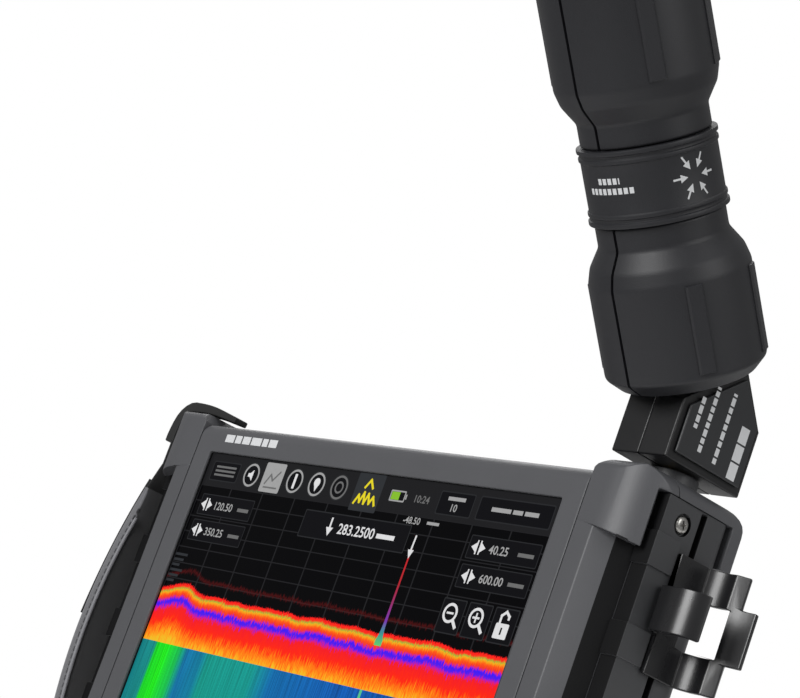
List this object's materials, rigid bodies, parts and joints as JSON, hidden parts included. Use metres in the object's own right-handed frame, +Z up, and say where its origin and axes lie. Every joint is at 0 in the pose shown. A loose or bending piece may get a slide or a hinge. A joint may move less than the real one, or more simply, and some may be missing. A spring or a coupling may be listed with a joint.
{
  "type": "portable spectrum analyzer",
  "caption": "Portable touch-screen spectrum analyzer leaning on its rear stand, with a plug-in omnidirectional antenna, a side probe clip and a padded hand strap.",
  "frame": {"origin": "on the table, under the middle of the object's bounding box, with the case leaning back on its stand", "axes": "+Z up from the table, -Y towards the user that the screen faces, +X to the user's right"},
  "size_m": [0.3426, 0.1522, 0.4325],
  "materials": {
    "casing": "satin moulded plastic with a fine grain",
    "guard": "satin moulded plastic, slightly lighter than the case",
    "dark_plastic": "dark satin plastic",
    "clip_plastic": "near-black plastic with a soft gloss",
    "antenna_plastic": "matte dark grey plastic",
    "label": "smooth dark plate",
    "rubber": "soft black rubber",
    "steel": "bright screw steel",
    "brass": "plated brass",
    "aluminium": "bare sheet",
    "glass": "hard cover glass over a dark display",
    "board": "green circuit board",
    "pad_fabric": "padded woven fabric",
    "webbing": "black woven webbing",
    "white_plastic": "white moulded core"
  },
  "bodies": {
    "case": {"antenna_lead": "rubber", "antenna_receptacle": "dark_plastic", "audio_socket": "dark_plastic", "case_screw_left_lower": "steel", "case_screw_left_upper": "steel", "case_screw_right_lower": "steel", "case_screw_right_upper": "steel", "chassis_plate": "aluminium", "corner_guard_left_lower": "guard", "corner_guard_left_upper": "guard", "corner_guard_right_lower": "guard", "corner_guard_right_upper": "guard", "display_glass": "glass", "front_bezel": "casing", "lcd_panel": "aluminium", "main_board": "board", "power_socket": "dark_plastic", "probe_clip": "clip_plastic", "rail_screw_left_lower": "steel", "rail_screw_left_upper": "steel", "rail_screw_right_lower": "steel", "rail_screw_right_upper": "steel", "rear_shell": "casing", "rf_shield": "aluminium", "screen_gasket": "rubber", "side_grip_left": "guard", "side_grip_right": "guard", "side_rail_left": "dark_plastic", "side_rail_right": "dark_plastic", "speaker": "dark_plastic", "stand_pin_left": "steel", "stand_pin_right": "steel", "status_lens": "white_plastic", "strap_anchor_lower": "dark_plastic", "strap_anchor_upper": "dark_plastic", "strap_pad": "pad_fabric", "strap_tab": "webbing", "strap_tail": "webbing", "strap_webbing": "webbing", "usb_socket": "steel"},
    "antenna": {"antenna_collar": "antenna_plastic", "antenna_core": "white_plastic", "antenna_plug": "brass", "elbow_label_plate": "label", "elbow_shell_left": "antenna_plastic", "elbow_shell_right": "antenna_plastic", "lower_bulb_left": "antenna_plastic", "lower_bulb_right": "antenna_plastic", "neck_band": "antenna_plastic", "upper_bulb_left": "antenna_plastic", "upper_bulb_right": "antenna_plastic"},
    "battery": {"battery_case": "dark_plastic", "battery_cell_1": "aluminium", "battery_cell_2": "aluminium", "battery_cell_3": "aluminium"},
    "battery_latch": {"battery_latch": "dark_plastic"},
    "kickstand": {"kickstand": "dark_plastic", "stand_foot_pad": "rubber"},
    "port_cover": {"port_cover": "rubber"},
    "power_button": {"power_button": "dark_plastic"}
  },
  "joints": [
    {"name": "kickstand_hinge", "type": "hinge", "parent": "case", "child": "kickstand", "pos_m": [-0.00089, 0.02847, 0.1178], "axis": [1, 0, 0], "range_deg": [-45.7, 0]},
    {"name": "antenna_lift", "type": "slide", "parent": "case", "child": "antenna", "axis": [0, 0.4337, 0.9011], "range_m": [0, 0.03]},
    {"name": "battery_slide", "type": "slide", "parent": "case", "child": "battery", "axis": [0, 0.9011, -0.4337], "range_m": [0, 0.03]},
    {"name": "battery_latch_slide", "type": "slide", "parent": "case", "child": "battery_latch", "axis": [0, 0.4337, 0.9011], "range_m": [0, 0.004], "stiffness_N_per_m": 300},
    {"name": "port_cover_hinge", "type": "hinge", "parent": "case", "child": "port_cover", "pos_m": [-0.04689, 0.0417, 0.17181], "axis": [-1, 0, 0], "range_deg": [0, 120]},
    {"name": "power_button_press", "type": "slide", "parent": "case", "child": "power_button", "axis": [0, 0.9011, -0.4337], "range_m": [0, 0.0012], "stiffness_N_per_m": 400}
  ]
}
